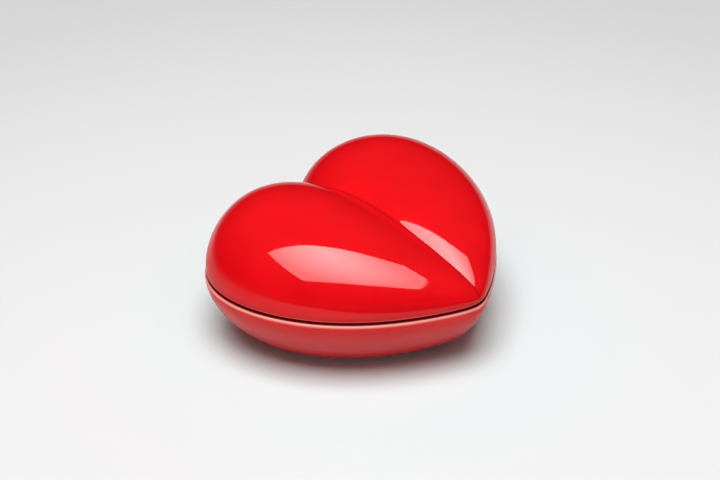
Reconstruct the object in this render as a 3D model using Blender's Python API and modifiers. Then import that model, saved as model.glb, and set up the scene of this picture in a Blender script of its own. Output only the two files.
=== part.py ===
"""Heart-shaped ceramic keepsake box: a domed lid that rests on a bowl-shaped base.

Units are metres, +Z is up. The heart is the union of two egg-shaped lobes, mirrored at x = 0.
Its tip points along -Y and its notch along +Y. The base stands on z = 0.
"""
import math

import bmesh
import bpy
import numpy as np

# Plan of one lobe, an egg whose narrow end is at the heart's tip
LOBE_LENGTH = 0.1164
LOBE_HALF_BREADTH = 0.0379
LOBE_SPLAY = math.radians(21.2)
PLAN_SWELL_SHARE = 0.291
PLAN_BLUNTING_SHARE = -0.079
PLAN_SHOULDER_SHARE = 0.155
INNER_DRAW_SHARE = 0.665
INNER_DRAW_FADE_POWER = 1.5

# Lid
LID_HEIGHT = 0.0316
LID_WALL = 0.0038
LID_EDGE_RADIUS = 0.0009
DOME_SWELL_SHARE = 0.484
DOME_POWER = 0.397
DOME_POWER_SHARE = 0.129

# Base
BASE_HEIGHT = 0.0318
RIM_PROUD = 0.0005
RIM_RADIUS = 0.0012
BOWL_FORM_DEPTH = 0.0380
BOWL_POWER = 1.80
BOWL_FLOOR_SHARE = 0.333
BOWL_CENTRE_SHIFT = 0.0156
FLOOR_THICKNESS = 0.0055
INNER_BOWL_POWER = 2.6
INNER_FLOOR_SHARE = 0.35
FOOT_RING_WIDTH = 0.0040
FOOT_RECESS = 0.0012

# Collar of the base, inside the lid
COLLAR_HEIGHT = 0.0040
COLLAR_THICKNESS = 0.0026
COLLAR_CLEARANCE = 0.0008
COLLAR_EDGE_RADIUS = 0.0007
SEAT_GAP = 0.0003

# Mesh fineness
ROWS_TO_NOTCH = 22
ROWS_TO_END = 11
NOTCH_CROWDING_POWER = 1.3
POINTS_ACROSS = 16
LEAST_LAST_STEP_SHARE = 0.3
FLANK_RINGS = 8
EDGE_RINGS = 3
SEARCH_STEPS = 50
PEAK_SEARCH_STATIONS = 721
SHARP_ANGLE = math.radians(30)
MERGE_DISTANCE = 1e-6
TINY = 1e-9


class Lobe:
    """One egg-shaped lobe of the heart, drawn smaller all round by an inset.

    A station is an angle that runs along the lobe's axis, from 0 at the tip's end to pi at the
    far end. Across a section, a place runs from 1 at the outer edge to -1 at the inner one.
    """

    def __init__(self, inset, height):
        self.axis = np.array([math.sin(LOBE_SPLAY), math.cos(LOBE_SPLAY)])
        self.square = np.array([math.cos(LOBE_SPLAY), -math.sin(LOBE_SPLAY)])
        self.length = LOBE_LENGTH - 2 * inset
        self.half_breadth = LOBE_HALF_BREADTH - inset
        tip_half_breadth = LOBE_HALF_BREADTH * self.plan_swell(0.0)
        tip_radius = 2 * tip_half_breadth**2 / LOBE_LENGTH
        self.start = self.axis * (inset - tip_radius)
        self.height_scale = height / self.peak_factor()

    @staticmethod
    def plan_swell(station):
        along = -math.cos(station)
        shoulder = PLAN_SHOULDER_SHARE * along**3
        return 1 + PLAN_SWELL_SHARE * along + PLAN_BLUNTING_SHARE * along**2 + shoulder

    @staticmethod
    def peak_factor():
        stations = np.linspace(0, math.pi, PEAK_SEARCH_STATIONS)
        return max(Lobe.height_factor(station) for station in stations)

    @staticmethod
    def height_factor(station):
        return math.sin(station) * (1 - DOME_SWELL_SHARE * math.cos(station))

    def breadth(self, station):
        return self.half_breadth * math.sin(station) * self.plan_swell(station)

    def height(self, station):
        return self.height_scale * self.height_factor(station)

    @staticmethod
    def lean(station):
        """How strongly a section leans outward, so that its inner flank is short and steep."""
        draw = INNER_DRAW_SHARE * ((1 + math.cos(station)) / 2) ** INNER_DRAW_FADE_POWER
        return draw / (2 - draw) ** 2

    @staticmethod
    def power(station):
        """Power of a section's round: low for a full, square one and high for a peaked one."""
        return DOME_POWER - DOME_POWER_SHARE * math.cos(station)

    def axis_point(self, station):
        return self.start + self.axis * self.length * (1 - math.cos(station)) / 2

    def plan_point(self, station, place):
        """Plan position of a place across the section at a station."""
        inward = 1 - place
        side = 1 - 2 * inward / (1 + math.sqrt(1 + 4 * self.lean(station) * inward))
        return self.axis_point(station) + self.square * self.breadth(station) * side

    def rise(self, station, place):
        """Height of a place across the section at a station."""
        return self.height(station) * (1 - min(place**2, 1.0)) ** self.power(station)

    def place_at_centre_plane(self, station):
        """The place where the section at a station crosses x = 0, no less than -1."""
        middle = self.axis_point(station)[0]
        side = min(-middle / max(self.breadth(station) * self.square[0], TINY), 1.0)
        return max(side - self.lean(station) * (1 - side) ** 2, -1.0)

    def place_at_level(self, station, level):
        """The outer place where the dome still stands as high as the level."""
        share = min(level / max(self.height(station), TINY), 1.0)
        return math.sqrt(1 - share ** (1 / self.power(station)))


def crossing(value, low, high):
    """The place between low and high where value changes from negative to positive."""
    for _ in range(SEARCH_STEPS):
        middle = (low + high) / 2
        if value(middle) < 0:
            low = middle
        else:
            high = middle
    return (low + high) / 2


def key_stations(lobe, level):
    """Stations of the heart's tip, its notch and the lobe's far end, at a level of the dome."""
    broad = math.pi / 2
    start = crossing(lambda a: lobe.height(a) - level, 0, broad)
    end = crossing(lambda a: level - lobe.height(a), broad, math.pi)
    tip = crossing(lambda a: lobe.plan_point(a, lobe.place_at_level(a, level))[0], start, broad)
    notch = crossing(lambda a: lobe.plan_point(a, -lobe.place_at_level(a, level))[0], broad, end)
    return tip, notch, end


def row_stations(lobe, level):
    """Stations of the rows, from the tip to the notch and on to the far end.

    They lie closer at the tip and at the notch, where the crease runs steeply down to the seam.
    """
    tip, notch, end = key_stations(lobe, level)
    close_at_ends = (1 - np.cos(np.linspace(0, math.pi, ROWS_TO_NOTCH + 1))) / 2
    close_at_notch = np.linspace(0, 1, ROWS_TO_END + 1) ** NOTCH_CROWDING_POWER
    to_notch = tip + (notch - tip) * close_at_ends
    to_end = notch + (end - notch) * close_at_notch
    return list(to_notch) + list(to_end[1:])


def half_outline(inset, level=0.0):
    """Half the heart's plan outline, from the tip round the lobe to the notch."""
    lobe = Lobe(inset, LID_HEIGHT - LID_EDGE_RADIUS - inset)
    stations = row_stations(lobe, level)
    outer = [lobe.plan_point(a, lobe.place_at_level(a, level)) for a in stations]
    inner = [lobe.plan_point(a, -lobe.place_at_level(a, level)) for a in stations[ROWS_TO_NOTCH:-1]]
    outline = np.array(outer + inner[::-1])
    outline[[0, -1], 0] = 0.0
    return outline


def plan_shift():
    """Moves the base's rim so that its bounding box is centred on the origin."""
    outline = half_outline(-RIM_PROUD)
    return np.array([0.0, -(outline[:, 1].min() + outline[:, 1].max()) / 2])


class Skin:
    """Half of a piece, open at x = 0, built up from rows of points."""

    def __init__(self):
        self.bm = bmesh.new()

    def ring(self, outline, height):
        shifted = outline + plan_shift()
        return [self.bm.verts.new((x, y, height)) for x, y in shifted]

    def point(self, plan, height):
        x, y = plan + plan_shift()
        return self.bm.verts.new((x, y, height))

    def join(self, first, second):
        """Faces between two rows of equally many vertices, which may share some."""
        for a, b, c, d in zip(first, first[1:], second[1:], second):
            corners = list(dict.fromkeys((a, b, c, d)))
            if len(corners) > 2:
                self.bm.faces.new(corners)

    def join_all(self, rings):
        for first, second in zip(rings, rings[1:]):
            self.join(first, second)

    def dome(self, inset, edge, base_level):
        """The two-lobed dome over an edge ring: sections across the lobe, from tip to far end."""
        lobe = Lobe(inset, LID_HEIGHT - LID_EDGE_RADIUS - inset)
        stations = row_stations(lobe, 0.0)
        rows = [[edge[0]] * (POINTS_ACROSS + 1)]
        last = len(stations) - 1
        for index in range(1, last):
            rows.append(self.section(lobe, stations[index], index, edge, base_level))
        rows.append([edge[last]] * (POINTS_ACROSS + 1))
        self.join_all(rows)

    def section(self, lobe, station, index, edge, base_level):
        """One section of the dome, from the outer edge over to the crease or the inner edge.

        The edge ring starts at the tip and ends at the notch, so inner edge points count from its end.
        """
        end_place = lobe.place_at_centre_plane(station)
        pace = math.pi / POINTS_ACROSS
        steps = math.ceil(math.acos(end_place) / pace - LEAST_LAST_STEP_SHARE)
        row = [edge[index]]
        for step in range(1, steps):
            row.append(self.dome_point(lobe, station, math.cos(pace * step), base_level))
        if index < ROWS_TO_NOTCH:
            end = self.dome_point(lobe, station, end_place, base_level)
            end.co.x = 0.0
        else:
            end = edge[ROWS_TO_NOTCH - index - 1]
        return row + [end] * (POINTS_ACROSS + 1 - len(row))

    def dome_point(self, lobe, station, place, base_level):
        return self.point(lobe.plan_point(station, place), base_level + lobe.rise(station, place))

    def cap(self, ring, plan, height):
        """Closes a ring with a fan of faces about a point of the centre plane."""
        self.join(ring, [self.point(plan, height)] * len(ring))

    def mark_sharp_edges(self):
        """Smooth shading, broken where faces or the two halves meet at more than SHARP_ANGLE."""
        for face in self.bm.faces:
            face.smooth = True
        for edge in self.bm.edges:
            if edge.is_boundary:
                turn = 2 * math.asin(min(abs(edge.link_faces[0].normal.x), 1.0))
            else:
                turn = edge.calc_face_angle()
            edge.smooth = turn < SHARP_ANGLE

    def object(self, name, material, origin):
        """The whole piece: the half, mirrored, with its origin moved to the given height."""
        for vert in self.bm.verts:
            vert.co.z -= origin
        bmesh.ops.recalc_face_normals(self.bm, faces=self.bm.faces)
        self.mark_sharp_edges()
        mesh = bpy.data.meshes.new(name)
        self.bm.to_mesh(mesh)
        self.bm.free()
        mesh.materials.append(material)
        piece = bpy.data.objects.new(name, mesh)
        piece.location.z = origin
        mirror = piece.modifiers.new("other half", "MIRROR")
        mirror.use_axis = (True, False, False)
        mirror.use_clip = True
        mirror.merge_threshold = MERGE_DISTANCE
        return piece


def scaled(outline, factor):
    """An outline drawn smaller about the bowl's centre."""
    centre = bowl_centre()
    return centre + (outline - centre) * factor


def bowl_centre():
    return np.array([0.0, BOWL_CENTRE_SHIFT]) - plan_shift()


def flank_shares(form_depth, power, floor_share, depth):
    """Outline factor and depth of each ring, from the level of the rim down to the depth."""
    last = math.asin((depth / form_depth) ** (power / 2))
    shares = []
    for turn in np.linspace(0, last, FLANK_RINGS + 1):
        factor = floor_share + (1 - floor_share) * math.cos(turn) ** (2 / power)
        shares.append((factor, form_depth * math.sin(turn) ** (2 / power)))
    return shares


def rounded_edge(radius):
    """Inset and drop of the rings round an edge, from its side to its top."""
    turns = np.linspace(0, math.pi / 2, EDGE_RINGS + 1)
    return [(radius * (1 - math.cos(turn)), radius * (1 - math.sin(turn))) for turn in turns]


def make_lid(material):
    """Hollow cap: outer dome, rounded lower edge, flat seat and inner dome."""
    skin = Skin()
    bottom = BASE_HEIGHT + SEAT_GAP
    edge_level = bottom + LID_EDGE_RADIUS
    rings = []
    for inset, rise in rounded_edge(LID_EDGE_RADIUS):
        rings.append(skin.ring(half_outline(inset), bottom + rise))
    for inset, rise in reversed(rounded_edge(LID_EDGE_RADIUS)):
        rings.append(skin.ring(half_outline(LID_WALL - inset), bottom + rise))
    skin.join_all(rings)
    skin.dome(0.0, rings[0], edge_level)
    skin.dome(LID_WALL, rings[-1], edge_level)
    return skin.object("lid", material, bottom)


def make_base(material):
    """Bowl with a foot ring, a rounded rim, a shoulder for the lid and a collar inside it."""
    skin = Skin()
    rings = outer_rings(skin) + collar_rings(skin) + inner_rings(skin)
    skin.join_all(rings)
    skin.cap(rings[0], bowl_centre(), FOOT_RECESS)
    skin.cap(rings[-1], bowl_centre(), FLOOR_THICKNESS)
    return skin.object("base", material, 0.0)


def outer_rings(skin):
    """From the recess under the foot, over the foot ring and up the flank to the shoulder."""
    rim = half_outline(-RIM_PROUD)
    rim_level = BASE_HEIGHT - RIM_RADIUS
    flank = flank_shares(BOWL_FORM_DEPTH, BOWL_POWER, BOWL_FLOOR_SHARE, rim_level)
    foot_factor = flank[-1][0]
    ring_factor = foot_factor - FOOT_RING_WIDTH / rim[:, 0].max()
    recess_factor = ring_factor - FOOT_RECESS / rim[:, 0].max()
    rings = [
        skin.ring(scaled(rim, recess_factor), FOOT_RECESS),
        skin.ring(scaled(rim, ring_factor), 0.0),
    ]
    for factor, depth in reversed(flank):
        rings.append(skin.ring(scaled(rim, factor), rim_level - depth))
    for inset, drop in rounded_edge(RIM_RADIUS)[1:]:
        rings.append(skin.ring(half_outline(inset - RIM_PROUD), BASE_HEIGHT - drop))
    return rings


def collar_rings(skin):
    """Up the outside of the collar, over its rounded top and to its inner face."""
    outer_inset = LID_WALL + COLLAR_CLEARANCE
    inner_inset = outer_inset + COLLAR_THICKNESS
    top = BASE_HEIGHT + COLLAR_HEIGHT
    rings = [skin.ring(half_outline(outer_inset, COLLAR_HEIGHT), BASE_HEIGHT)]
    for inset, drop in rounded_edge(COLLAR_EDGE_RADIUS):
        rings.append(skin.ring(half_outline(outer_inset + inset, COLLAR_HEIGHT), top - drop))
    for inset, drop in reversed(rounded_edge(COLLAR_EDGE_RADIUS)):
        rings.append(skin.ring(half_outline(inner_inset - inset, COLLAR_HEIGHT), top - drop))
    return rings


def inner_rings(skin):
    """Down the inside of the bowl to its floor."""
    mouth = half_outline(LID_WALL + COLLAR_CLEARANCE + COLLAR_THICKNESS, COLLAR_HEIGHT)
    depth = BASE_HEIGHT - FLOOR_THICKNESS
    rings = []
    for factor, drop in flank_shares(depth, INNER_BOWL_POWER, INNER_FLOOR_SHARE, depth):
        rings.append(skin.ring(scaled(mouth, factor), BASE_HEIGHT - drop))
    return rings


def glaze(name, colour):
    """Glossy coloured glaze."""
    material = bpy.data.materials.new(name)
    material.use_nodes = True
    shader = material.node_tree.nodes["Principled BSDF"]
    shader.inputs["Base Color"].default_value = colour
    shader.inputs["Roughness"].default_value = 0.08
    shader.inputs["Metallic"].default_value = 0.0
    return material


def clear_scene():
    for item in list(bpy.data.objects):
        bpy.data.objects.remove(item, do_unlink=True)


def main():
    clear_scene()
    box = bpy.data.collections.new("heart_keepsake_box")
    bpy.context.scene.collection.children.link(box)
    lid = make_lid(glaze("lid_glaze", (0.80, 0.006, 0.010, 1.0)))
    base = make_base(glaze("base_glaze", (0.72, 0.008, 0.012, 1.0)))
    for piece in (base, lid):
        box.objects.link(piece)


main()
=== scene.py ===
"""Studio view of a heart-shaped keepsake box in red glazed ceramic: a domed lid on a bowl-shaped base.

Units are metres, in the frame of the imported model: +Z up, the heart's tip along -Y, its notch along +Y.
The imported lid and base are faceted, so fine surfaces stand for them. These have the same form, but
for a softened crease, the outer side of the base's rim, which is a little lower, and the base's
lower flank, which is slimmer.
"""

import math

import bmesh
import bpy
import numpy as np
from mathutils import Matrix, Vector


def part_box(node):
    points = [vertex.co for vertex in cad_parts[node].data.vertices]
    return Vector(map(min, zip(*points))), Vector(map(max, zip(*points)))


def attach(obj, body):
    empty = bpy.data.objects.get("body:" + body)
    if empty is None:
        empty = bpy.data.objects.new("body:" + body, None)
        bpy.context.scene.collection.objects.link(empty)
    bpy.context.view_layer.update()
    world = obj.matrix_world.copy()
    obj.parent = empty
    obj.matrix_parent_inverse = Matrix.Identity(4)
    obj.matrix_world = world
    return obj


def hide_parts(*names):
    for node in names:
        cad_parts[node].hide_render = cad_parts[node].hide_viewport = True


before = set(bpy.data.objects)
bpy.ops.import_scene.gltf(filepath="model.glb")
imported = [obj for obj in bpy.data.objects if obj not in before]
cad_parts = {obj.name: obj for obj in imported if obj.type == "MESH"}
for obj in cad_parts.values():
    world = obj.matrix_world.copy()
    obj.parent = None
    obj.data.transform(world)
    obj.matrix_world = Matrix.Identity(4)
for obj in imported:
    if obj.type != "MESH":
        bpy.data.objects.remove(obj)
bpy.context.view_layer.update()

# Plan of one lobe, an egg whose narrow end is at the heart's tip
LOBE_LENGTH = 0.1164
LOBE_HALF_BREADTH = 0.0379
LOBE_SPLAY = math.radians(21.2)
PLAN_SWELL_SHARE = 0.291
PLAN_BLUNTING_SHARE = -0.079
PLAN_SHOULDER_SHARE = 0.155
INNER_DRAW_SHARE = 0.665
INNER_DRAW_FADE_POWER = 1.5

# Lid
LID_HEIGHT = 0.0316
LID_WALL = 0.0038
LID_EDGE_RADIUS = 0.0009
DOME_SWELL_SHARE = 0.484
DOME_POWER = 0.397
DOME_POWER_SHARE = 0.129
CREASE_SOFTNESS = 0.00035

# Base
BASE_HEIGHT = 0.0318
RIM_PROUD = 0.0005
RIM_RADIUS = 0.0012
RIM_DROP = 0.0006
BOWL_FORM_DEPTH = 0.0375
BOWL_POWER = 1.65
BOWL_FLOOR_SHARE = 0.333
BOWL_CENTRE_SHIFT = 0.0156
FLOOR_THICKNESS = 0.0055
INNER_BOWL_POWER = 2.6
INNER_FLOOR_SHARE = 0.35
FOOT_RING_WIDTH = 0.0040
FOOT_RECESS = 0.0012
FOOT_EDGE_RADIUS = 0.0008
FOOT_SLOPE_SHARE = 0.2
FOOT_ROUND_SHARE = 0.1
FOOT_MIDDLE_SHARE = 0.6

# Collar of the base, inside the lid
COLLAR_HEIGHT = 0.0040
COLLAR_THICKNESS = 0.0026
COLLAR_CLEARANCE = 0.0008
COLLAR_EDGE_RADIUS = 0.0007
SEAT_GAP = 0.0003

# Camera, from the photograph: where it looks, how far it stands and how long its lens is
LOOK_AT = Vector((0.00327, 0.01075, BASE_HEIGHT + SEAT_GAP / 2))
CAMERA_TURN = math.radians(-48.01)
CAMERA_RISE = math.radians(32.24)
CAMERA_DISTANCE = 0.650
LENS_MM = 77.07
SENSOR_WIDTH_MM = 36.0

# Where all lamps aim
LAMP_AIM = Vector((0.0, 0.0, BASE_HEIGHT))

# Softbox, from the highlights: its bearing from the camera's view, its size and its radiance
SOFTBOX_TURN = math.radians(168.1)
SOFTBOX_RISE = math.radians(70.5)
SOFTBOX_ROLL = math.radians(20.6)
SOFTBOX_DISTANCE = 1.20
SOFTBOX_LENGTH = 1.83
SOFTBOX_BREADTH = 1.03
SOFTBOX_SHIFT = -0.025
SOFTBOX_RADIANCE = 6.0

# Inside the softbox, in shares of its length and breadth: the bulb, how the light falls off from it,
# and the fold across one corner, as slopes along both ways and an offset
BULB_PLACE = (0.55, 0.82, 0.0)
BULB_SPREAD = (0.5, 1.0, 1.0)
BULB_BRIGHTNESS = 1.34
BULB_FALL_OFF = 0.85
SIDE_FALL_OFF = 0.26
LEAST_BRIGHTNESS = 0.48
FOLD_SLOPES = (-2.0, 0.55)
FOLD_OFFSET = 1.65
FOLD_SOFTNESS = 0.06

# Lamps that the glaze doesn't mirror
PLAIN_LAMP_DISTANCE = 3.0
KEY_LAMP = {"turn": math.radians(-169.0), "rise": math.radians(75.0), "size": 2.00, "radiance": 8.3}
FRONT_LAMP = {"turn": math.radians(178.0), "rise": math.radians(45.0), "size": 5.20, "radiance": 0.28}

# Floor: its radius, how far beyond the box it is palest, where its painted shade turns it greyer, and
# where its painted cooling against the box's red glow ends
FLOOR_RADIUS = 4.0
FLOOR_PALEST_BEYOND = -0.04
FLOOR_SHADE_GREYING = (0.0, 0.44)
FLOOR_GLOW_COOLING = (0.055, 0.135)
FLOOR_MOTTLE_SCALE = 1.5
FLOOR_ROUGHNESS = 0.75
FLOOR_SPECULAR = 0.2
DISC_CORNERS = 96

# Dark card: its radius, its height over the floor, and where it starts and fades in
CARD_RADIUS = 3.9
CARD_FRONT = -0.158
CARD_FRONT_OFFSET = -0.124
CARD_FRONT_SLOPE = 0.55
CARD_FRONT_SOFTNESS = 0.012
CARD_FADE = (0.13, 0.42)
CARD_LEFT_SIDE = (-0.2, 0.9)
CARD_RIGHT_SHARE = 0.5
CARD_LIFT = 0.0002
CARD_MOTTLE_SCALE = 20.0
CARD_ROUGHNESS = 0.9

# Fineness of the surfaces. An outline has rows from the tip to the notch, and from there to the far end
OUTLINE_ROWS = (120, 60)
NOTCH_CROWDING_POWER = 1.3
DOME_STEPS = 100
INNER_DOME_STEPS = 50
FLANK_STEPS = 48
INNER_FLANK_STEPS = 32
EDGE_STEPS = 6
SEARCH_STEPS = 50
PEAK_SEARCH_STATIONS = 721
MERGE_DISTANCE = 1e-6
TINY = 1e-9


class Lobe:
    """One egg-shaped lobe of the heart, drawn smaller all round by an inset.

    A station is an angle that runs along the lobe's axis, from 0 at the tip's end to pi at the
    far end. Across a section, a place runs from 1 at the outer edge to -1 at the inner one.
    """

    def __init__(self, inset):
        self.axis = np.array([math.sin(LOBE_SPLAY), math.cos(LOBE_SPLAY)])
        self.square = np.array([math.cos(LOBE_SPLAY), -math.sin(LOBE_SPLAY)])
        self.length = LOBE_LENGTH - 2 * inset
        self.half_breadth = LOBE_HALF_BREADTH - inset
        tip_radius = 2 * (LOBE_HALF_BREADTH * self.plan_swell(0.0)) ** 2 / LOBE_LENGTH
        self.start = self.axis * (inset - tip_radius)
        peak = self.height_factor(np.linspace(0, math.pi, PEAK_SEARCH_STATIONS)).max()
        self.height_scale = (LID_HEIGHT - LID_EDGE_RADIUS - inset) / peak

    @staticmethod
    def plan_swell(station):
        along = -np.cos(station)
        shoulder = PLAN_SHOULDER_SHARE * along**3
        return 1 + PLAN_SWELL_SHARE * along + PLAN_BLUNTING_SHARE * along**2 + shoulder

    @staticmethod
    def height_factor(station):
        return np.sin(station) * (1 - DOME_SWELL_SHARE * np.cos(station))

    def height(self, station):
        return self.height_scale * self.height_factor(station)

    def breadth(self, station):
        return self.half_breadth * np.sin(station) * self.plan_swell(station)

    @staticmethod
    def lean(station):
        """How strongly a section leans outward, so that its inner flank is short and steep."""
        draw = INNER_DRAW_SHARE * ((1 + np.cos(station)) / 2) ** INNER_DRAW_FADE_POWER
        return draw / (2 - draw) ** 2

    @staticmethod
    def power(station):
        """Power of a section's round: low for a full, square one and high for a peaked one."""
        return DOME_POWER - DOME_POWER_SHARE * np.cos(station)

    def axis_point(self, station):
        return self.start + np.multiply.outer(self.length * (1 - np.cos(station)) / 2, self.axis)

    def plan_point(self, station, place):
        """Plan position of a place across the section at a station."""
        inward = 1 - place
        side = 1 - 2 * inward / (1 + np.sqrt(1 + 4 * self.lean(station) * inward))
        return self.axis_point(station) + np.multiply.outer(self.breadth(station) * side, self.square)

    def rise(self, station, place):
        """Height of a place across the section at a station."""
        return self.height(station) * (1 - np.minimum(place**2, 1.0)) ** self.power(station)

    def place_at_crease(self, station):
        """The place where the section at a station meets the crease, no less than -1."""
        middle = self.axis_point(station)[..., 0]
        reach = np.maximum(self.breadth(station) * self.square[0], TINY)
        side = np.minimum((CREASE_SOFTNESS - middle) / reach, 1.0)
        return np.maximum(side - self.lean(station) * (1 - side) ** 2, -1.0)

    def place_at_level(self, station, level):
        """The outer place where the dome still stands as high as the level."""
        share = np.minimum(level / np.maximum(self.height(station), TINY), 1.0)
        return np.sqrt(1 - share ** (1 / self.power(station)))


def soften(plan):
    """Rounds the crease and the notch: draws in what lies close to the centre plane."""
    softened = plan.copy()
    softened[..., 0] = np.sqrt(np.maximum(plan[..., 0] ** 2 - CREASE_SOFTNESS**2, 0.0))
    return softened


def crossing(value, low, high):
    """The place between low and high where value changes from negative to positive."""
    for _ in range(SEARCH_STEPS):
        middle = (low + high) / 2
        if value(middle) < 0:
            low = middle
        else:
            high = middle
    return (low + high) / 2


def row_stations(lobe, level):
    """Stations of the rows, from the tip to the notch and on to the far end."""
    rows_to_notch, rows_to_end = OUTLINE_ROWS

    def past_crease(station, sign):
        place = sign * lobe.place_at_level(station, level)
        return lobe.plan_point(station, place)[0] - CREASE_SOFTNESS

    broad = math.pi / 2
    start = crossing(lambda station: lobe.height(station) - level, 0, broad)
    end = crossing(lambda station: level - lobe.height(station), broad, math.pi)
    tip = crossing(lambda station: past_crease(station, 1), start, broad)
    notch = crossing(lambda station: past_crease(station, -1), broad, end)
    close_at_ends = (1 - np.cos(np.linspace(0, math.pi, rows_to_notch + 1))) / 2
    close_at_notch = np.linspace(0, 1, rows_to_end + 1) ** NOTCH_CROWDING_POWER
    to_notch = tip + (notch - tip) * close_at_ends
    to_end = notch + (end - notch) * close_at_notch
    return np.concatenate([to_notch, to_end[1:]])


def half_outline(inset, level=0.0):
    """Half the heart's plan outline, from the tip round the lobe to the notch."""
    lobe = Lobe(inset)
    stations = row_stations(lobe, level)
    places = lobe.place_at_level(stations, level)
    outer = lobe.plan_point(stations, places)
    back = slice(OUTLINE_ROWS[0], -1)
    inner = lobe.plan_point(stations[back], -places[back])
    outline = soften(np.concatenate([outer, inner[::-1]]))
    outline[[0, -1], 0] = 0.0
    return outline


RIM_OUTLINE = half_outline(-RIM_PROUD)
PLAN_SHIFT = np.array([0.0, -(RIM_OUTLINE[:, 1].min() + RIM_OUTLINE[:, 1].max()) / 2])
BOWL_CENTRE = np.array([0.0, BOWL_CENTRE_SHIFT]) - PLAN_SHIFT


class Skin:
    """Half of a piece, x above 0, built from rows of points and mirrored at the end."""

    def __init__(self):
        self.points = []
        self.faces = []

    def add(self, plan, heights):
        """Adds points, given by plan and height, and returns their numbers."""
        plan = np.atleast_2d(plan) + PLAN_SHIFT
        first = len(self.points)
        levels = np.broadcast_to(heights, len(plan))
        self.points.extend((x, y, z) for (x, y), z in zip(plan, levels))
        return list(range(first, len(self.points)))

    def join(self, first, second):
        """Faces between two rows of equally many points, which may share some."""
        for corners in zip(first, first[1:], second[1:], second):
            corners = list(dict.fromkeys(corners))
            if len(corners) > 2:
                self.faces.append(corners)

    def join_all(self, rows):
        for first, second in zip(rows, rows[1:]):
            self.join(first, second)

    def dome(self, inset, edge, base_level, across):
        """The two-lobed dome over an edge ring: sections across the lobe, from tip to far end."""
        lobe = Lobe(inset)
        stations = row_stations(lobe, 0.0)
        notch = OUTLINE_ROWS[0]
        last = len(stations) - 1
        close_at_ends = (1 - np.cos(np.linspace(0, math.pi, across + 1))) / 2
        sections = [[edge[0]] * (across + 1)]
        for index in range(1, last):
            station = stations[index]
            places = np.cos(math.acos(lobe.place_at_crease(station)) * close_at_ends)
            plan = soften(lobe.plan_point(station, places))
            if index < notch:
                inner = slice(1, None)
                ending = []
            else:
                inner = slice(1, -1)
                ending = [edge[notch - index - 1]]
            middle = self.add(plan[inner], base_level + lobe.rise(station, places[inner]))
            sections.append([edge[index]] + middle + ending)
        sections.append([edge[last]] * (across + 1))
        self.join_all(sections)

    def cap(self, ring, plan, height):
        """Closes a ring with a fan of faces about a point of the centre plane."""
        self.join(ring, self.add(plan, height) * len(ring))

    def piece(self, name, node, material):
        """The whole piece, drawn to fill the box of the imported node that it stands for."""
        mesh = bpy.data.meshes.new(name)
        mesh.from_pydata(self.points, [], self.faces)
        piece = bpy.data.objects.new(name, mesh)
        bpy.context.scene.collection.objects.link(piece)
        mirror = piece.modifiers.new("other half", "MIRROR")
        mirror.use_clip = True
        mirror.merge_threshold = MERGE_DISTANCE
        apply_modifiers(piece)
        turn_faces_outwards(piece.data)
        fill_box(piece.data, *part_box(node))
        piece.data.shade_smooth()
        piece.data.materials.append(material)
        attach(piece, node)
        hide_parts(node)
        return piece


def apply_modifiers(piece):
    """Replaces the object's mesh by its evaluated one."""
    evaluated = piece.evaluated_get(bpy.context.evaluated_depsgraph_get())
    mesh = bpy.data.meshes.new_from_object(evaluated)
    mesh.name = piece.name
    piece.modifiers.clear()
    piece.data = mesh


def turn_faces_outwards(mesh):
    """Gives all faces of a closed mesh the same outward side."""
    bm = bmesh.new()
    bm.from_mesh(mesh)
    bmesh.ops.recalc_face_normals(bm, faces=bm.faces)
    bm.to_mesh(mesh)
    bm.free()


def fill_box(mesh, low, high):
    """Stretches the mesh very slightly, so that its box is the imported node's."""
    points = np.empty(len(mesh.vertices) * 3)
    mesh.vertices.foreach_get("co", points)
    points = points.reshape(-1, 3)
    least, most = points.min(0), points.max(0)
    points = np.array(low) + (points - least) / (most - least) * (np.array(high) - np.array(low))
    mesh.vertices.foreach_set("co", points.ravel())
    mesh.update()


def rounded_edge(radius):
    """Inset and drop of the rings round an edge, from its side to its top."""
    turns = np.linspace(0, math.pi / 2, EDGE_STEPS + 1)
    return [(radius * (1 - math.cos(turn)), radius * (1 - math.sin(turn))) for turn in turns]


def scaled(outline, factor):
    """An outline drawn smaller about the bowl's centre."""
    return BOWL_CENTRE + (outline - BOWL_CENTRE) * factor


def flank_shares(form_depth, power, floor_share, depth, steps):
    """Outline factor and depth of each ring, from the level of the rim down to the depth."""
    last = math.asin((depth / form_depth) ** (power / 2))
    shares = []
    for turn in np.linspace(0, last, steps + 1):
        factor = floor_share + (1 - floor_share) * math.cos(turn) ** (2 / power)
        shares.append((factor, form_depth * math.sin(turn) ** (2 / power)))
    return shares


def make_lid(material):
    """Outer dome, rounded lower edge, flat seat and inner dome."""
    skin = Skin()
    bottom = BASE_HEIGHT + SEAT_GAP
    edge_level = bottom + LID_EDGE_RADIUS
    rings = []
    for inset, rise in rounded_edge(LID_EDGE_RADIUS):
        rings.append(skin.add(half_outline(inset), bottom + rise))
    for inset, rise in reversed(rounded_edge(LID_EDGE_RADIUS)):
        rings.append(skin.add(half_outline(LID_WALL - inset), bottom + rise))
    skin.join_all(rings)
    skin.dome(0.0, rings[0], edge_level, DOME_STEPS)
    skin.dome(LID_WALL, rings[-1], edge_level, INNER_DOME_STEPS)
    return skin.piece("lid_shell", "lid", material)


def make_base(material):
    """Foot ring, bowl, rounded rim, shoulder for the lid, collar and the bowl's inside."""
    skin = Skin()
    rings = foot_and_flank(skin) + collar(skin) + inside(skin)
    skin.join_all(rings)
    skin.cap(rings[0], BOWL_CENTRE, FOOT_RECESS)
    skin.cap(rings[-1], BOWL_CENTRE, FLOOR_THICKNESS)
    return skin.piece("base_bowl", "base", material)


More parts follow.
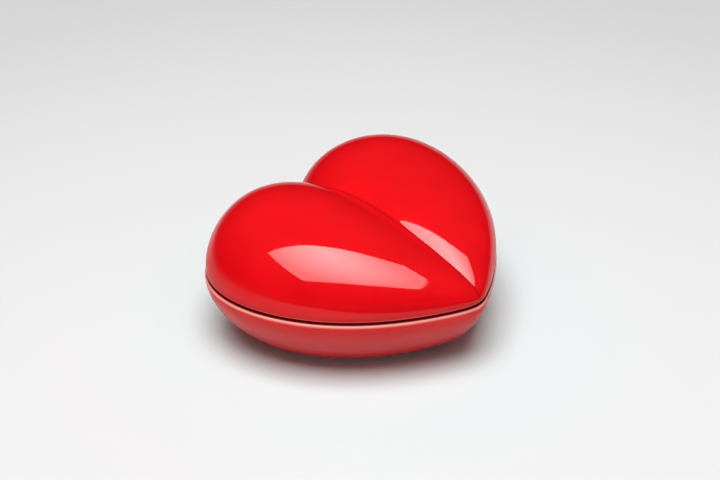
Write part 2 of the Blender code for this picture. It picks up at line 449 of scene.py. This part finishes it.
def foot_and_flank(skin):
    """From the recess under the foot, over the foot ring and up the flank to the shoulder."""
    rim_top = BASE_HEIGHT - RIM_DROP
    rim_level = rim_top - RIM_RADIUS
    flank = flank_shares(BOWL_FORM_DEPTH, BOWL_POWER, BOWL_FLOOR_SHARE, rim_level, FLANK_STEPS)
    half_width = RIM_OUTLINE[:, 0].max()
    foot_factor = flank[-1][0]
    ring_factor = foot_factor - FOOT_RING_WIDTH / half_width
    recess_factor = ring_factor - FOOT_RECESS / half_width
    edge_factor = FOOT_EDGE_RADIUS / half_width
    slope_factor = FOOT_RECESS * FOOT_SLOPE_SHARE / half_width
    foot_rings = [
        (recess_factor * FOOT_MIDDLE_SHARE, FOOT_RECESS),
        (recess_factor - edge_factor, FOOT_RECESS),
        (recess_factor, FOOT_RECESS * (1 - FOOT_SLOPE_SHARE)),
        (ring_factor - slope_factor, FOOT_RECESS * FOOT_ROUND_SHARE),
        (ring_factor, 0.0),
        (foot_factor - edge_factor, 0.0),
    ]
    rings = [skin.add(scaled(RIM_OUTLINE, factor), height) for factor, height in foot_rings]
    for factor, depth in reversed(flank[:-1]):
        rings.append(skin.add(scaled(RIM_OUTLINE, factor), rim_level - depth))
    for inset, drop in rounded_edge(RIM_RADIUS)[1:]:
        outline = half_outline(inset - RIM_PROUD)
        rings.append(skin.add(outline, rim_top - drop))
    return rings


def collar(skin):
    """Across the shoulder, up the outside of the collar and over its rounded top."""
    outer_inset = LID_WALL + COLLAR_CLEARANCE
    inner_inset = outer_inset + COLLAR_THICKNESS
    top = BASE_HEIGHT + COLLAR_HEIGHT
    rings = []
    for inset, drop in reversed(rounded_edge(COLLAR_EDGE_RADIUS)):
        outline = half_outline(outer_inset - inset, COLLAR_HEIGHT)
        rings.append(skin.add(outline, BASE_HEIGHT + drop))
    for inset, drop in rounded_edge(COLLAR_EDGE_RADIUS):
        outline = half_outline(outer_inset + inset, COLLAR_HEIGHT)
        rings.append(skin.add(outline, top - drop))
    for inset, drop in reversed(rounded_edge(COLLAR_EDGE_RADIUS)):
        outline = half_outline(inner_inset - inset, COLLAR_HEIGHT)
        rings.append(skin.add(outline, top - drop))
    return rings


def inside(skin):
    """Down the inside of the bowl to its floor."""
    mouth = half_outline(LID_WALL + COLLAR_CLEARANCE + COLLAR_THICKNESS, COLLAR_HEIGHT)
    depth = BASE_HEIGHT - FLOOR_THICKNESS
    flank = flank_shares(depth, INNER_BOWL_POWER, INNER_FLOOR_SHARE, depth, INNER_FLANK_STEPS)
    return [skin.add(scaled(mouth, factor), BASE_HEIGHT - drop) for factor, drop in flank]


class Value:
    """A socket of a material's nodes, with operators that add Math nodes."""

    def __init__(self, nodes, socket):
        self.nodes = nodes
        self.socket = socket

    def math(self, operation, other=0.0, swap=False):
        inputs = [other, self] if swap else [self, other]
        return self.nodes.add("ShaderNodeMath", {"operation": operation}, inputs)

    def __add__(self, other):
        return self.math("ADD", other)

    def __sub__(self, other):
        return self.math("SUBTRACT", other)

    def __rsub__(self, other):
        return self.math("SUBTRACT", other, swap=True)

    def __mul__(self, other):
        return self.math("MULTIPLY", other)

    def __truediv__(self, other):
        return self.math("DIVIDE", other)

    def __rtruediv__(self, other):
        return self.math("DIVIDE", other, swap=True)

    def __pow__(self, other):
        return self.math("POWER", other)

    __radd__ = __add__
    __rmul__ = __mul__


class Nodes:
    """Adds nodes to the tree of a material, a lamp or the world."""

    def __init__(self, tree):
        self.tree = tree

    def put(self, socket, value):
        if isinstance(value, Value):
            self.tree.links.new(value.socket, socket)
        else:
            socket.default_value = value

    def node(self, kind, settings, inputs):
        """A node of a type, with its settings, and values or links by socket name or number."""
        node = self.tree.nodes.new(kind)
        for name, setting in settings.items():
            setattr(node, name, setting)
        pairs = inputs.items() if isinstance(inputs, dict) else enumerate(inputs)
        for key, value in pairs:
            self.put(node.inputs[key], value)
        return node

    def add(self, kind, settings, inputs, output=0):
        return Value(self, self.node(kind, settings, inputs).outputs[output])

    def place(self):
        return self.add("ShaderNodeTexCoord", {}, {}, "Object")

    def facing(self):
        """Direction that the surface faces."""
        return self.add("ShaderNodeTexCoord", {}, {}, "Normal")

    def part(self, vector, axis):
        """One coordinate of a vector: 0, 1 or 2 for x, y or z."""
        return self.add("ShaderNodeSeparateXYZ", {}, [vector], axis)

    def length(self, vector):
        return self.add("ShaderNodeVectorMath", {"operation": "LENGTH"}, [vector], "Value")

    def distance(self, first, second):
        return self.add("ShaderNodeVectorMath", {"operation": "DISTANCE"}, [first, second], "Value")

    def dot(self, first, second):
        return self.add("ShaderNodeVectorMath", {"operation": "DOT_PRODUCT"}, [first, second], "Value")

    def noise(self, scale, detail=2.0, roughness=0.5):
        inputs = {"Vector": self.place(), "Scale": scale, "Detail": detail, "Roughness": roughness}
        return self.add("ShaderNodeTexNoise", {}, inputs)

    def between(self, value, low, high):
        """Goes smoothly from 0 at low to 1 at high."""
        inputs = {"Value": value, "From Min": low, "From Max": high}
        return self.add("ShaderNodeMapRange", {"interpolation_type": "SMOOTHSTEP"}, inputs)

    def mix(self, factor, first, second):
        """Colour between first and second."""
        inputs = {0: factor, 6: first, 7: second}
        return self.add("ShaderNodeMix", {"data_type": "RGBA"}, inputs, 2)


# Colours, linear
LID_RED = (0.84, 0.0035, 0.0080, 1.0)
LID_DEEP_RED = (0.68, 0.0020, 0.0055, 1.0)
# Painted shade over the lowest part of the lid, next to the gap
LID_LOW_SHADE_RED = (0.54, 0.0030, 0.0060, 1.0)
# Painted highlight on the lid's lower edge, where the glaze also breaks thin
LID_EDGE_HIGHLIGHT_RED = (0.84, 0.1000, 0.1000, 1.0)
# Painted shade in the crease, over glaze that pools thicker there
POOLED_GLAZE_AND_SHADE_RED = (0.30, 0.0010, 0.0020, 1.0)
BASE_UPPER_RED = (0.84, 0.0120, 0.0110, 1.0)
# Painted shade towards the foot, also the colour of the patches of thicker glaze
BASE_SHADE_AND_CLOUD_RED = (0.60, 0.0060, 0.0090, 1.0)
# Glaze breaking thin over the rim, with a painted highlight
BROKEN_AND_HIGHLIT_RED = (0.93, 0.3700, 0.3100, 1.0)
# Painted shade in the gap under the lid
GAP_SHADE_RED = (0.20, 0.0020, 0.0020, 1.0)
BARE_CLAY = (0.74, 0.64, 0.52, 1.0)
SHADED_CLAY = (0.58, 0.47, 0.36, 1.0)
FLOOR_PALE = (0.80, 0.80, 0.80, 1.0)
FLOOR_MOTTLE = (0.785, 0.785, 0.785, 1.0)
# Painted shade, as of light falling off away from the box
FLOOR_FAR_SHADE_GREY = (0.66, 0.66, 0.66, 1.0)
# Painted cooling that holds back the box's red glow on the floor near it
FLOOR_GLOW_COOL = (0.73, 0.81, 0.81, 1.0)
# Dark sheet seen only in reflections: painted dark reflection
CARD_GREY = (0.015, 0.015, 0.015, 1.0)
CARD_LIGHTER_GREY = (0.02, 0.02, 0.02, 1.0)
ROOM_LOW = (0.015, 0.015, 0.015, 1.0)
ROOM_HIGH = (0.07, 0.07, 0.07, 1.0)

# Height on the world's sphere, 1 straight up, over which the room turns from low to high
ROOM_RISE = (0.1, 0.9)

# Where the lid's colour changes, for the painted shade in the crease and over the lower edge and the
# painted highlight on the edge: distances from the crease and above the edge
CREASE_SHADE_BAND = (0.0002, 0.0011)
LID_EDGE_HIGHLIGHT_BAND = (0.0004, 0.0011)
LID_LOW_SHADE_BAND = (0.0010, 0.0040)

# Where the base's colour changes, for the painted highlight on the rim, the painted shade in the gap, the
# bare foot and the painted shade towards the foot: distances below the rim's top, then heights above the
# floor
RIM_HIGHLIGHT_BAND = (0.0020, 0.0005)
GAP_SHADE_BAND = (0.0004, 0.0001)
BARE_HEIGHT = (0.0006, 0.0010)
SHADE_FADE_HEIGHT = (0.012, 0.031)

# How far a surface must face away from the frame's origin to count as the outer side
OUTER_SIDE = (0.0, 0.004)

# Shares of one colour over the colour under it
LID_CLOUD_SHARE = 0.45
BASE_CLOUD_SHARE = 0.25
CREASE_SHADE_SHARE = 0.5
LID_LOW_SHADE_SHARE = 0.5
LID_EDGE_HIGHLIGHT_SHARE = 0.8
CLAY_GRAIN_SHARE = 0.4

# How a band comes in: slowly at first where the power is above 1
RIM_HIGHLIGHT_BAND_POWER = 1.8
SHADE_FADE_HEIGHT_POWER = 2.0
FLOOR_SHADE_GREYING_POWER = 2.2
CARD_FADE_POWER = 0.7

# Clear coat, which is thinner on steep flanks than where the surface faces up
COAT_IOR = 1.62
COAT_ROUGHNESS = 0.04
LID_STEEP_COAT = 0.45
BASE_STEEP_COAT = 0.65
BASE_UPPER_COAT_LOSS = 0.25
UPWARD_FACING = (0.2, 0.7)

# Unevenness of the glaze, from fine to broad, and its depth
BODY_ROUGHNESS = 0.3
BODY_ROUGHNESS_SPREAD = 0.1
FINE_WAVE_SHARE = 0.6
CLOUD_RANGE = (0.35, 0.70)
FINE_WAVE_SCALE = 230.0
BROAD_WAVE_SCALE = 70.0
SHEEN_SCALE = 90.0
CLOUD_SCALE = 38.0
CLAY_GRAIN_SCALE = 2600.0
BUMP_STRENGTH = 0.12
BUMP_DISTANCE = 0.0002
CLAY_GRAIN_DEPTH = 3.0


def new_material(name):
    material = bpy.data.materials.new(name)
    material.use_nodes = True
    return material, Nodes(material.node_tree), material.node_tree.nodes["Principled BSDF"]


def glaze_finish(nodes, shader, colour, coat, unevenness):
    """Clear glossy coat over a coloured body."""
    relief = {"Strength": BUMP_STRENGTH, "Distance": BUMP_DISTANCE, "Height": unevenness}
    nodes.put(shader.inputs["Base Color"], colour)
    roughness = BODY_ROUGHNESS + nodes.noise(SHEEN_SCALE) * BODY_ROUGHNESS_SPREAD
    nodes.put(shader.inputs["Roughness"], roughness)
    nodes.put(shader.inputs["Coat Weight"], coat)
    nodes.put(shader.inputs["Normal"], nodes.add("ShaderNodeBump", {}, relief))
    shader.inputs["Specular IOR Level"].default_value = 0.0
    shader.inputs["Coat IOR"].default_value = COAT_IOR
    shader.inputs["Coat Roughness"].default_value = COAT_ROUGHNESS


def clouds(nodes):
    """Soft patches where the glaze lies thicker."""
    return nodes.between(nodes.noise(CLOUD_SCALE, 3.0), *CLOUD_RANGE)


def waves(nodes):
    """Slight waviness of a poured glaze."""
    fine = nodes.noise(FINE_WAVE_SCALE, 2.0, 0.4) * FINE_WAVE_SHARE
    return fine + nodes.noise(BROAD_WAVE_SCALE, 1.0)


def upward(nodes):
    """How far the surface faces up: 0 on steep flanks, 1 where it is nearly level."""
    return nodes.between(nodes.part(nodes.facing(), 2), *UPWARD_FACING)


def lid_glaze():
    """Red glaze with painted shade in the crease, where it also pools, and over the lower edge; on the
    edge itself it breaks paler, with a painted highlight.
    """
    material, nodes, shader = new_material("lid_glaze")
    place = nodes.place()
    above_edge = nodes.part(place, 2) - (BASE_HEIGHT + SEAT_GAP)
    # Painted shade in the crease, where the glaze also pools
    crease_shade = 1 - nodes.between(nodes.part(place, 0).math("ABSOLUTE"), *CREASE_SHADE_BAND)
    # Painted highlight on the rounded lower edge, where the glaze also breaks thin
    edge_highlight = 1 - nodes.between(above_edge, *LID_EDGE_HIGHLIGHT_BAND)
    # Painted shade over the lowest few millimetres of the lid, next to the gap
    low_shade = 1 - nodes.between(above_edge, *LID_LOW_SHADE_BAND)
    colour = nodes.mix(clouds(nodes) * LID_CLOUD_SHARE, LID_RED, LID_DEEP_RED)
    colour = nodes.mix(crease_shade * CREASE_SHADE_SHARE, colour, POOLED_GLAZE_AND_SHADE_RED)
    colour = nodes.mix(low_shade * LID_LOW_SHADE_SHARE, colour, LID_LOW_SHADE_RED)
    colour = nodes.mix(edge_highlight * LID_EDGE_HIGHLIGHT_SHARE, colour, LID_EDGE_HIGHLIGHT_RED)
    coat = LID_STEEP_COAT + upward(nodes) * (1 - LID_STEEP_COAT)
    glaze_finish(nodes, shader, colour, coat, waves(nodes))
    return material


def base_glaze():
    """Red glaze with painted shade deeper towards the foot and in the gap under the lid, that breaks pale
    over the rim with a painted highlight; the foot ring is bare clay.
    """
    material, nodes, shader = new_material("base_glaze")
    place = nodes.place()
    height = nodes.part(place, 2)
    outwards = nodes.dot(place, nodes.facing())
    outside = nodes.between(outwards, *OUTER_SIDE)
    rim_top = BASE_HEIGHT - RIM_DROP
    rim_highlight_band = nodes.between(height, rim_top - RIM_HIGHLIGHT_BAND[0], rim_top - RIM_HIGHLIGHT_BAND[1])
    gap_shade_band = nodes.between(height, rim_top - GAP_SHADE_BAND[0], rim_top - GAP_SHADE_BAND[1])
    # Painted highlight on the outer round of the rim, over glaze breaking thin there
    rim_highlight = outside * rim_highlight_band**RIM_HIGHLIGHT_BAND_POWER
    # Painted shade on the shoulder in the gap under the lid, where the coat is left off too
    gap_shade = outside * gap_shade_band
    bare = 1 - nodes.between(height, *BARE_HEIGHT)
    # Painted shade that deepens the red towards the foot
    above_shade = nodes.between(height, *SHADE_FADE_HEIGHT) ** SHADE_FADE_HEIGHT_POWER
    grain = nodes.noise(CLAY_GRAIN_SCALE, 3.0)
    colour = nodes.mix(above_shade, BASE_SHADE_AND_CLOUD_RED, BASE_UPPER_RED)
    colour = nodes.mix(clouds(nodes) * BASE_CLOUD_SHARE, colour, BASE_SHADE_AND_CLOUD_RED)
    colour = nodes.mix(rim_highlight, colour, BROKEN_AND_HIGHLIT_RED)
    colour = nodes.mix(gap_shade, colour, GAP_SHADE_RED)
    colour = nodes.mix(bare, colour, nodes.mix(grain * CLAY_GRAIN_SHARE, BARE_CLAY, SHADED_CLAY))
    coat = BASE_STEEP_COAT - above_shade * BASE_UPPER_COAT_LOSS + upward(nodes) * (1 - BASE_STEEP_COAT)
    coat = coat * (1 - gap_shade) * (1 - bare)
    glaze_finish(nodes, shader, colour, coat, waves(nodes) + grain * bare * CLAY_GRAIN_DEPTH)
    return material


def camera_ground_axes():
    """Directions along the floor to the camera's right and away from it."""
    right = Vector((math.cos(CAMERA_TURN), math.sin(CAMERA_TURN), 0.0))
    away = Vector((-math.sin(CAMERA_TURN), math.cos(CAMERA_TURN), 0.0))
    return right, away


def stage_disc(name, radius, height, material):
    """Flat round sheet about the middle of the floor."""
    bpy.ops.mesh.primitive_circle_add(vertices=DISC_CORNERS, radius=radius, fill_type="NGON")
    disc = bpy.context.active_object
    disc.name = name
    disc.location.z = height
    disc.data.materials.append(material)
    return disc


def studio_floor():
    """Pale floor, far larger than the view, with painted shade that greys it away from the box, and
    painted cooling where the box's red glow falls.
    """
    material, nodes, shader = new_material("pale_floor")
    place = nodes.place()
    palest = tuple(camera_ground_axes()[1] * FLOOR_PALEST_BEYOND)
    # Painted shade: greyer away from the box, as of light falling off
    painted_falloff = nodes.between(nodes.distance(place, palest), *FLOOR_SHADE_GREYING) ** FLOOR_SHADE_GREYING_POWER
    # Painted cooling near the box, against its red glow
    glow_cancelling = 1 - nodes.between(nodes.length(place), *FLOOR_GLOW_COOLING)
    colour = nodes.mix(nodes.noise(FLOOR_MOTTLE_SCALE), FLOOR_MOTTLE, FLOOR_PALE)
    colour = nodes.mix(painted_falloff, colour, FLOOR_FAR_SHADE_GREY)
    colour = nodes.mix(glow_cancelling, colour, FLOOR_GLOW_COOL)
    nodes.put(shader.inputs["Base Color"], colour)
    shader.inputs["Roughness"].default_value = FLOOR_ROUGHNESS
    shader.inputs["Specular IOR Level"].default_value = FLOOR_SPECULAR
    stage_disc("studio_floor", FLOOR_RADIUS, 0.0, material)


def dark_card():
    """Card that only the glaze's reflections show, dark in front of the box and fading in elsewhere: a
    dark sheet that paints darker reflections where the floor would show.
    """
    material, nodes, shader = new_material("dark_card")
    right_way, away_way = camera_ground_axes()
    place = nodes.place()
    right = nodes.dot(place, tuple(right_way))
    away = nodes.dot(place, tuple(away_way))
    distance = nodes.length(place)
    front_edge = (right * CARD_FRONT_SLOPE + CARD_FRONT_OFFSET).math("MAXIMUM", CARD_FRONT)
    in_front = nodes.between(front_edge - away, 0.0, CARD_FRONT_SOFTNESS)
    leftness = nodes.between(right * -1.0 / distance, *CARD_LEFT_SIDE)
    strength = leftness * (1 - CARD_RIGHT_SHARE) + CARD_RIGHT_SHARE
    fading_in = nodes.between(distance, *CARD_FADE) ** CARD_FADE_POWER * strength
    grey = nodes.mix(nodes.noise(CARD_MOTTLE_SCALE), CARD_GREY, CARD_LIGHTER_GREY)
    nodes.put(shader.inputs["Base Color"], grey)
    shader.inputs["Roughness"].default_value = CARD_ROUGHNESS
    covered = Value(nodes, shader.outputs["BSDF"])
    clear = nodes.add("ShaderNodeBsdfTransparent", {}, {})
    cover = nodes.add("ShaderNodeMixShader", {}, [in_front.math("MAXIMUM", fading_in), clear, covered])
    nodes.put(material.node_tree.nodes["Material Output"].inputs["Surface"], cover)
    card = stage_disc("dark_card", CARD_RADIUS, CARD_LIFT, material)
    card.visible_camera = False
    card.visible_diffuse = False
    card.visible_shadow = False


def lamp_direction(turn, rise):
    """Direction of a lamp, turned clockwise from straight away from the camera."""
    right, away = camera_ground_axes()
    level = right * math.sin(turn) + away * math.cos(turn)
    return level * math.cos(rise) + Vector((0.0, 0.0, math.sin(rise)))


def shade_softbox(lamp):
    """Brightest in front of the bulb, dimmer to the sides, with one corner folded back."""
    lamp.use_nodes = True
    nodes = Nodes(lamp.node_tree)
    place = nodes.add("ShaderNodeNewGeometry", {}, {}, "Parametric")
    from_bulb = nodes.add(
        "ShaderNodeMapping",
        {"vector_type": "TEXTURE"},
        {"Vector": place, "Location": BULB_PLACE, "Scale": BULB_SPREAD},
    )
    distance = nodes.length(from_bulb)
    along = nodes.part(place, 0)
    across = nodes.part(place, 1)
    inside_fold = along * FOLD_SLOPES[0] + across * FOLD_SLOPES[1] + FOLD_OFFSET
    brightness = BULB_BRIGHTNESS - (distance * BULB_FALL_OFF + along * SIDE_FALL_OFF)
    unfolded = nodes.between(inside_fold, 0.0, FOLD_SOFTNESS)
    strength = brightness.math("MAXIMUM", LEAST_BRIGHTNESS) * unfolded
    nodes.put(lamp.node_tree.nodes["Emission"].inputs["Strength"], strength)


def overhead_softbox():
    """Rectangular softbox over the box, square to the line between them, that its glaze mirrors."""
    right = camera_ground_axes()[0]
    towards = lamp_direction(SOFTBOX_TURN, SOFTBOX_RISE)
    across = (right - towards * right.dot(towards)).normalized()
    beside = towards.cross(across)
    length_way = across * math.cos(SOFTBOX_ROLL) + beside * math.sin(SOFTBOX_ROLL)
    breadth_way = beside * math.cos(SOFTBOX_ROLL) - across * math.sin(SOFTBOX_ROLL)
    lamp = bpy.data.lights.new("overhead_softbox", "AREA")
    lamp.shape = "RECTANGLE"
    lamp.size = SOFTBOX_LENGTH
    lamp.size_y = SOFTBOX_BREADTH
    lamp.energy = SOFTBOX_RADIANCE * math.pi * SOFTBOX_LENGTH * SOFTBOX_BREADTH
    shade_softbox(lamp)
    holder = bpy.data.objects.new("overhead_softbox", lamp)
    bpy.context.scene.collection.objects.link(holder)
    holder.location = LAMP_AIM + towards * SOFTBOX_DISTANCE + breadth_way * SOFTBOX_SHIFT
    holder.rotation_euler = Matrix((length_way, breadth_way, towards)).transposed().to_euler()
    holder.visible_diffuse = False


def plain_lamp(name, turn, rise, size, radiance):
    """Even square lamp that lights the box but doesn't show in its glaze."""
    lamp = bpy.data.lights.new(name, "AREA")
    lamp.shape = "SQUARE"
    lamp.size = size
    lamp.energy = radiance * math.pi * size**2
    holder = bpy.data.objects.new(name, lamp)
    bpy.context.scene.collection.objects.link(holder)
    towards = lamp_direction(turn, rise)
    holder.location = LAMP_AIM + towards * PLAIN_LAMP_DISTANCE
    holder.rotation_euler = towards.to_track_quat("Z", "Y").to_euler()
    holder.visible_glossy = False


def dim_room():
    """Plain room round the table, darkest at the level of the box."""
    world = bpy.data.worlds.new("dim_room")
    bpy.context.scene.world = world
    world.use_nodes = True
    nodes = Nodes(world.node_tree)
    direction = nodes.add("ShaderNodeTexCoord", {}, {}, "Generated")
    raised = nodes.between(nodes.part(direction, 2), *ROOM_RISE)
    colour = nodes.mix(raised, ROOM_LOW, ROOM_HIGH)
    nodes.put(world.node_tree.nodes["Background"].inputs["Color"], colour)


def set_camera():
    """Camera at the photograph's angle."""
    lens = bpy.data.cameras.new("camera")
    lens.lens = LENS_MM
    lens.sensor_width = SENSOR_WIDTH_MM
    camera = bpy.data.objects.new("camera", lens)
    bpy.context.scene.collection.objects.link(camera)
    back = Vector(
        (
            math.sin(CAMERA_TURN) * math.cos(CAMERA_RISE),
            -math.cos(CAMERA_TURN) * math.cos(CAMERA_RISE),
            math.sin(CAMERA_RISE),
        )
    )
    camera.location = LOOK_AT + back * CAMERA_DISTANCE
    camera.rotation_euler = (-back).to_track_quat("-Z", "Y").to_euler()
    bpy.context.scene.camera = camera


def main():
    set_camera()
    overhead_softbox()
    plain_lamp("key_lamp", **KEY_LAMP)
    plain_lamp("front_lamp", **FRONT_LAMP)
    dim_room()
    studio_floor()
    dark_card()
    lid = make_lid(lid_glaze())
    base = make_base(base_glaze())
    bpy.context.scene.view_settings.view_transform = "Standard"


main()
